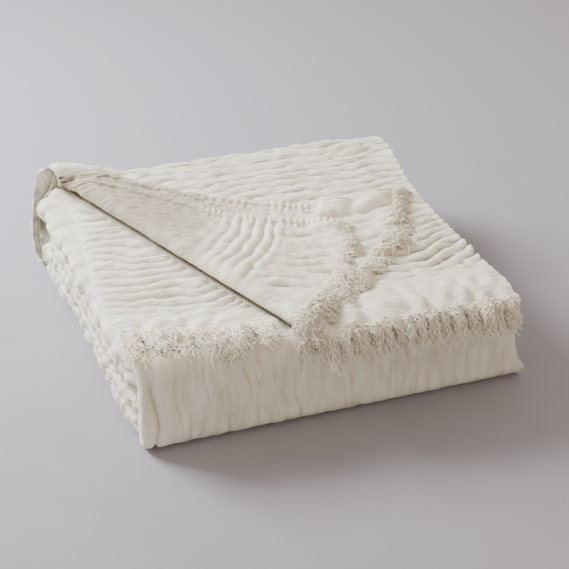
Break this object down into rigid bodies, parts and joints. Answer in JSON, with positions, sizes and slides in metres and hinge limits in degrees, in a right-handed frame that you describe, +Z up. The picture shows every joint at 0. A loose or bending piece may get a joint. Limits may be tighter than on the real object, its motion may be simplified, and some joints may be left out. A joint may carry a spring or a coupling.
{
  "type": "folded throw",
  "caption": "Crinkled linen throw with fringed ends, folded into a flat rectangular stack, the corner of its top layers turned back.",
  "frame": {"origin": "middle of the stack's outline, fringe included, on the surface that it rests on", "axes": "+X to the right along the front edge, +Y from the front edge to the back, +Z up"},
  "size_m": [0.4676, 0.4304, 0.1499],
  "materials": {
    "crinkled_linen": "soft matt double gauze with crinkled ribs, undyed cream",
    "fringe_yarn": "loose matt linen threads, undyed cream"
  },
  "bodies": {
    "root": {"cloth": "crinkled_linen", "fringe_outer": "fringe_yarn", "fringe_inner": "fringe_yarn", "fringe_under": "fringe_yarn"}
  },
  "joints": []
}
